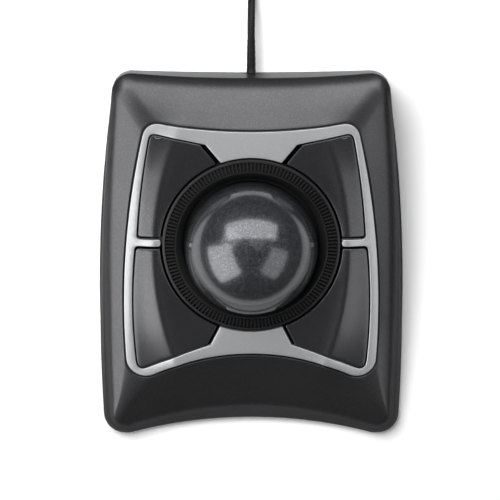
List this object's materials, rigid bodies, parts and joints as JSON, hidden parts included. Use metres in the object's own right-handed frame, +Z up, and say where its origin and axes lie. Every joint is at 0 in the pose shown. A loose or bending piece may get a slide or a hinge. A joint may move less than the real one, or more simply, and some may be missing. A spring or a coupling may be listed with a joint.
{
  "type": "trackball mouse",
  "caption": "Desktop trackball with a large ball in a ribbed scroll ring, four rocking buttons in a silver frame, a sloping graphite housing and a coiled USB lead.",
  "frame": {"origin": "middle of the footprint on the desk, under the feet", "axes": "+Y to the back where the lead leaves, +X to the user's right, +Z up"},
  "size_m": [0.13, 0.249, 0.065],
  "materials": {
    "graphite_shell": "metallic graphite paint, fine sparkle, satin",
    "black_base": "moulded black plastic, fine texture",
    "silver_frame": "silver metallic paint, satin",
    "graphite_button": "metallic graphite paint, semi gloss",
    "ring_black": "black moulded plastic, semi matt",
    "ball_resin": "polished dark resin with fine speckle under a clear coat",
    "steel": "plated steel",
    "white_plastic": "moulded white plastic",
    "board_green": "solder mask",
    "chip_black": "moulded",
    "crystal_metal": "plated",
    "lens_clear": "clear moulded",
    "plunger_red": "moulded",
    "foot_rubber": "matt",
    "cable_black": "soft jacket, satin"
  },
  "bodies": {
    "housing": {"top_cover": "graphite_shell", "base_cover": "black_base", "button_frame": "silver_frame", "inner_frame": "black_base", "ball_socket": "black_base", "support_balls": "steel", "ring_glides": "white_plastic", "scroll_sensor": "black_base", "circuit_board": "board_green", "controller_chip": "chip_black", "crystal": "crystal_metal", "capacitors": "chip_black", "board_header": "white_plastic", "header_plug": "white_plastic", "inner_lead": "cable_black", "sensor_board": "board_green", "sensor_chip": "chip_black", "sensor_lens": "lens_clear", "hinge_pins": "steel", "frame_screws": "steel", "socket_screws": "steel", "board_screws": "steel", "sensor_screws": "steel", "base_screws": "steel", "foot_back_left": "foot_rubber", "foot_back_right": "foot_rubber", "foot_front_left": "foot_rubber", "foot_front_right": "foot_rubber", "switch_back_left": "chip_black", "switch_back_right": "chip_black", "switch_front_left": "chip_black", "switch_front_right": "chip_black", "strain_relief": "black_base", "cable": "cable_black", "cable_coil": "cable_black", "cable_tail": "cable_black", "cable_tie": "black_base", "usb_plug_body": "black_base", "usb_plug_shell": "crystal_metal", "usb_plug_insert": "white_plastic"},
    "ball": {"ball": "ball_resin"},
    "ring": {"scroll_ring": "ring_black", "scroll_encoder": "ring_black"},
    "button_back_left": {"button_back_left": "graphite_button"},
    "plunger_back_left": {"plunger_back_left": "plunger_red"},
    "button_back_right": {"button_back_right": "graphite_button"},
    "plunger_back_right": {"plunger_back_right": "plunger_red"},
    "button_front_left": {"button_front_left": "graphite_button"},
    "plunger_front_left": {"plunger_front_left": "plunger_red"},
    "button_front_right": {"button_front_right": "graphite_button"},
    "plunger_front_right": {"plunger_front_right": "plunger_red"}
  },
  "joints": [
    {"name": "ball_roll", "type": "hinge", "parent": "housing", "child": "ball", "pos_m": [0, 0.0052, 0.0375], "axis": [1, 0, 0], "continuous": true},
    {"name": "scroll_ring_turn", "type": "hinge", "parent": "housing", "child": "ring", "pos_m": [0, 0.00625, 0.0321], "axis": [0, -0.1908, 0.9816], "continuous": true},
    {"name": "button_back_left_press", "type": "hinge", "parent": "housing", "child": "button_back_left", "pos_m": [-0.0417, 0.02772, 0.03169], "axis": [0, 0.9816, 0.1908], "range_deg": [0, 2], "stiffness_Nm_per_rad": 0.2, "springref_deg": -1.15},
    {"name": "plunger_back_left_travel", "type": "slide", "parent": "housing", "child": "plunger_back_left", "axis": [0, 0.1908, -0.9816], "range_m": [0, 0.0006]},
    {"name": "button_back_right_press", "type": "hinge", "parent": "housing", "child": "button_back_right", "pos_m": [0.0417, 0.02772, 0.03169], "axis": [0, -0.9816, -0.1908], "range_deg": [0, 2], "stiffness_Nm_per_rad": 0.2, "springref_deg": -1.15},
    {"name": "plunger_back_right_travel", "type": "slide", "parent": "housing", "child": "plunger_back_right", "axis": [0, 0.1908, -0.9816], "range_m": [0, 0.0006]},
    {"name": "button_front_left_press", "type": "hinge", "parent": "housing", "child": "button_front_left", "pos_m": [-0.0417, -0.01645, 0.0231], "axis": [0, 0.9816, 0.1908], "range_deg": [0, 2], "stiffness_Nm_per_rad": 0.2, "springref_deg": -1.15},
    {"name": "plunger_front_left_travel", "type": "slide", "parent": "housing", "child": "plunger_front_left", "axis": [0, 0.1908, -0.9816], "range_m": [0, 0.0006]},
    {"name": "button_front_right_press", "type": "hinge", "parent": "housing", "child": "button_front_right", "pos_m": [0.0417, -0.01645, 0.0231], "axis": [0, -0.9816, -0.1908], "range_deg": [0, 2], "stiffness_Nm_per_rad": 0.2, "springref_deg": -1.15},
    {"name": "plunger_front_right_travel", "type": "slide", "parent": "housing", "child": "plunger_front_right", "axis": [0, 0.1908, -0.9816], "range_m": [0, 0.0006]}
  ],
  "couplings": [
    {"joint": "plunger_back_left_travel", "follows": "button_back_left_press", "m_per_rad": 0.011489},
    {"joint": "plunger_back_right_travel", "follows": "button_back_right_press", "m_per_rad": 0.011489},
    {"joint": "plunger_front_left_travel", "follows": "button_front_left_press", "m_per_rad": 0.012764},
    {"joint": "plunger_front_right_travel", "follows": "button_front_right_press", "m_per_rad": 0.012764}
  ]
}
